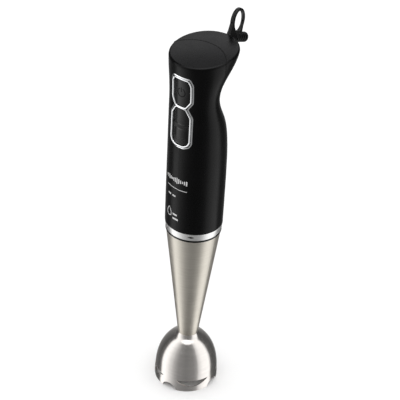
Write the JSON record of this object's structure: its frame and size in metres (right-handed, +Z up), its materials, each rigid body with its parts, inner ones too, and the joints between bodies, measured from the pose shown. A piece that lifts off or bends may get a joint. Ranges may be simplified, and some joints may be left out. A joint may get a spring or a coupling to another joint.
{
  "type": "immersion blender",
  "caption": "Hand-held stick blender: black handle with two thumb buttons in a bright bezel, twist-off steel shaft and slotted bell around a flat blade.",
  "frame": {"origin": "on the drive axis, in the plane that the bell's feet stand on", "axes": "+Z up along the drive axis towards the handle, -Y the front with the buttons, +Y the rear with the cord bushing"},
  "size_m": [0.064, 0.0945, 0.3975],
  "materials": {
    "handle_plastic": "satin black moulded ABS",
    "button_plastic": "fine-textured dark grey elastomer over plastic",
    "bezel_chrome": "chromed plastic, mirror",
    "ring_steel": "polished stainless ring",
    "mark_ink": "dark filled engraving",
    "tube_steel": "satin, brushed around the tube",
    "bell_steel": "polished stainless, fine spinning marks",
    "blade_steel": "ground stainless",
    "black_rubber": "black, slightly glossy",
    "inner_plastic": "glass-filled nylon",
    "screw_steel": "zinc plated",
    "cast_frame": "die cast",
    "lamination": "stacked electrical sheet",
    "copper": "enamelled copper",
    "shaft_steel": "ground",
    "bronze": "sintered bronze and brass",
    "carbon": "graphite",
    "board": "green circuit board",
    "switch_case": "black switch housings"
  },
  "bodies": {
    "handle": {"board_carrier": "inner_plastic", "brush_holders": "bronze", "brush_springs": "screw_steel", "button_bezel": "bezel_chrome", "carbon_brushes": "carbon", "collar_ring": "ring_steel", "cord_bushing": "black_rubber", "cord_clamp": "inner_plastic", "cord_clamp_screws": "screw_steel", "field_coils": "copper", "isolator_lower": "black_rubber", "isolator_upper": "black_rubber", "lock_mark": "mark_ink", "lower_bearing": "shaft_steel", "main_housing": "handle_plastic", "micro_switches": "switch_case", "motor_bolts": "screw_steel", "motor_frame_lower": "cast_frame", "motor_frame_upper": "inner_plastic", "nose": "inner_plastic", "nose_screws": "screw_steel", "rear_cover": "handle_plastic", "retaining_clip": "screw_steel", "speed_spring": "screw_steel", "stator_core": "lamination", "switch_board": "board", "turbo_spring": "screw_steel", "upper_bearing": "shaft_steel"},
    "speed_button": {"speed_button": "button_plastic", "speed_icon": "button_plastic"},
    "turbo_button": {"turbo_button": "button_plastic"},
    "rotor": {"motor_shaft": "shaft_steel", "armature_core": "lamination", "armature_windings": "copper", "commutator": "copper", "cooling_fan": "inner_plastic", "drive_dog": "inner_plastic"},
    "lock": {"gasket_ring": "black_rubber"},
    "shaft": {"shaft_tube": "tube_steel", "bell_guard": "bell_steel", "shaft_socket": "inner_plastic", "upper_bush": "bronze", "bush_housing": "inner_plastic", "lower_bush": "bronze", "shaft_seal": "black_rubber"},
    "drive": {"drive_shaft": "shaft_steel", "driven_dog": "inner_plastic", "blade": "blade_steel", "blade_hub": "blade_steel", "blade_nut": "blade_steel"}
  },
  "joints": [
    {"name": "speed_press", "type": "slide", "parent": "handle", "child": "speed_button", "axis": [0, 1, 0], "range_m": [0, 0.002], "stiffness_N_per_m": 900, "springref_m": -0.0012, "deforming": ["speed_spring"]},
    {"name": "turbo_press", "type": "slide", "parent": "handle", "child": "turbo_button", "axis": [0, 1, 0], "range_m": [0, 0.002], "stiffness_N_per_m": 900, "springref_m": -0.0012, "deforming": ["turbo_spring"]},
    {"name": "rotor_spin", "type": "hinge", "parent": "handle", "child": "rotor", "pos_m": [0, 0, 0.24], "axis": [0, 0, 1], "continuous": true},
    {"name": "lock_twist", "type": "hinge", "parent": "handle", "child": "lock", "pos_m": [0, 0, 0.186], "axis": [0, 0, 1], "range_deg": [0, 30]},
    {"name": "shaft_pull", "type": "slide", "parent": "lock", "child": "shaft", "axis": [0, 0, -1], "range_m": [0, 0.045]},
    {"name": "drive_spin", "type": "hinge", "parent": "shaft", "child": "drive", "pos_m": [0, 0, 0.1], "axis": [0, 0, 1], "continuous": true}
  ],
  "couplings": [
    {"joint": "drive_spin", "follows": "rotor_spin", "ratio": 1}
  ]
}
